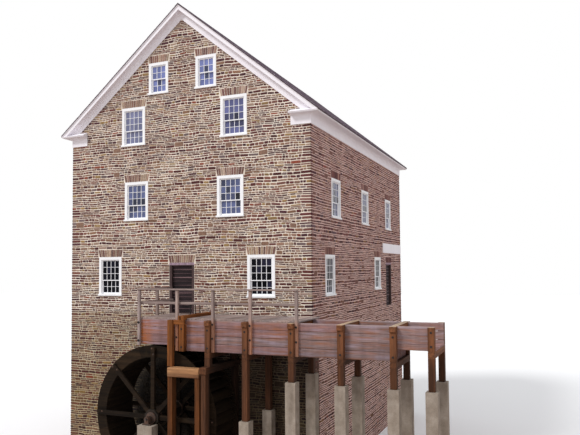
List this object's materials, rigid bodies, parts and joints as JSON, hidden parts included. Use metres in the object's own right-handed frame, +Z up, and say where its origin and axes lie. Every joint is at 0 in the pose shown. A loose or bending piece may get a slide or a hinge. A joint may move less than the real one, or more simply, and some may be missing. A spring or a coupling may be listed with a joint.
{
  "type": "watermill",
  "caption": "Stone watermill with a shingled gable roof, double-hung windows, an overshot timber wheel on its gable and a planked flume with deck and rails.",
  "frame": {"origin": "middle of the underside of the stone wall that carries the wheel: on the gable's centre line and in the middle of that wall's thickness, at the lowest point of the model", "axes": "+X to the right along the wheel gable seen from outside, +Y from the wheel gable to the back gable, +Z up"},
  "size_m": [15.845, 16.93, 18.3903],
  "materials": {
    "stone": "rough",
    "white_paint": "painted",
    "shingle": "weathered",
    "floor_wood": "sawn",
    "grey_wood": "weathered",
    "brown_wood": "weathered",
    "door_wood": "weathered",
    "wheel_wood": "wet",
    "concrete": "cast",
    "iron": "rusted",
    "glass": "polished"
  },
  "bodies": {
    "mill": {"wheel_wall_foot": "stone", "wheel_wall_left": "stone", "wheel_wall_right": "stone", "wheel_wall_gable": "stone", "entrance_wall_foot": "stone", "entrance_wall_near": "stone", "entrance_wall_far": "stone", "entrance_wall_upper": "stone", "door_arches": "stone", "back_wall": "stone", "left_wall": "stone", "floors": "floor_wood", "left_roof_slope": "shingle", "right_roof_slope": "shingle", "ridge_cap": "shingle", "eave_cornices": "white_paint", "rakes": "white_paint", "wheel_wall_windows": "white_paint", "wheel_wall_glass": "glass", "entrance_wall_windows": "white_paint", "entrance_wall_glass": "glass", "back_wall_windows": "white_paint", "back_wall_glass": "glass", "left_wall_windows": "white_paint", "left_wall_glass": "glass", "gable_door_frame": "grey_wood", "entrance_door_frame": "grey_wood", "sign_board": "white_paint", "flume_trough": "grey_wood", "flume_yokes": "brown_wood", "flume_deck": "grey_wood", "flume_railing": "grey_wood", "flume_trestle": "brown_wood", "concrete_piers": "concrete", "wheel_front_frame": "brown_wood", "shaft_bearings": "iron"},
    "wheel": {"wheel_shaft": "wheel_wood", "shaft_gudgeons": "iron", "wheel_arms": "wheel_wood", "wheel_rims": "wheel_wood", "wheel_sole": "wheel_wood", "wheel_buckets": "wheel_wood"},
    "gable_door": {"gable_door": "door_wood"},
    "entrance_door": {"entrance_door": "door_wood"},
    "sluice_gate": {"sluice_gate": "grey_wood"}
  },
  "joints": [
    {"name": "wheel_spin", "type": "hinge", "parent": "mill", "child": "wheel", "pos_m": [0.12, -1.525, 2.8], "axis": [0, 1, 0], "continuous": true},
    {"name": "gable_door_hinge", "type": "hinge", "parent": "mill", "child": "gable_door", "pos_m": [-0.471, -0.187, 7.2], "axis": [0, 0, 1], "range_deg": [0, 90]},
    {"name": "entrance_door_hinge", "type": "hinge", "parent": "mill", "child": "entrance_door", "pos_m": [5.237, 10.499, 7.1], "axis": [0, 0, 1], "range_deg": [0, 90]},
    {"name": "sluice_gate_slide", "type": "slide", "parent": "mill", "child": "sluice_gate", "axis": [0, 0, 1], "range_m": [0, 0.25]}
  ]
}
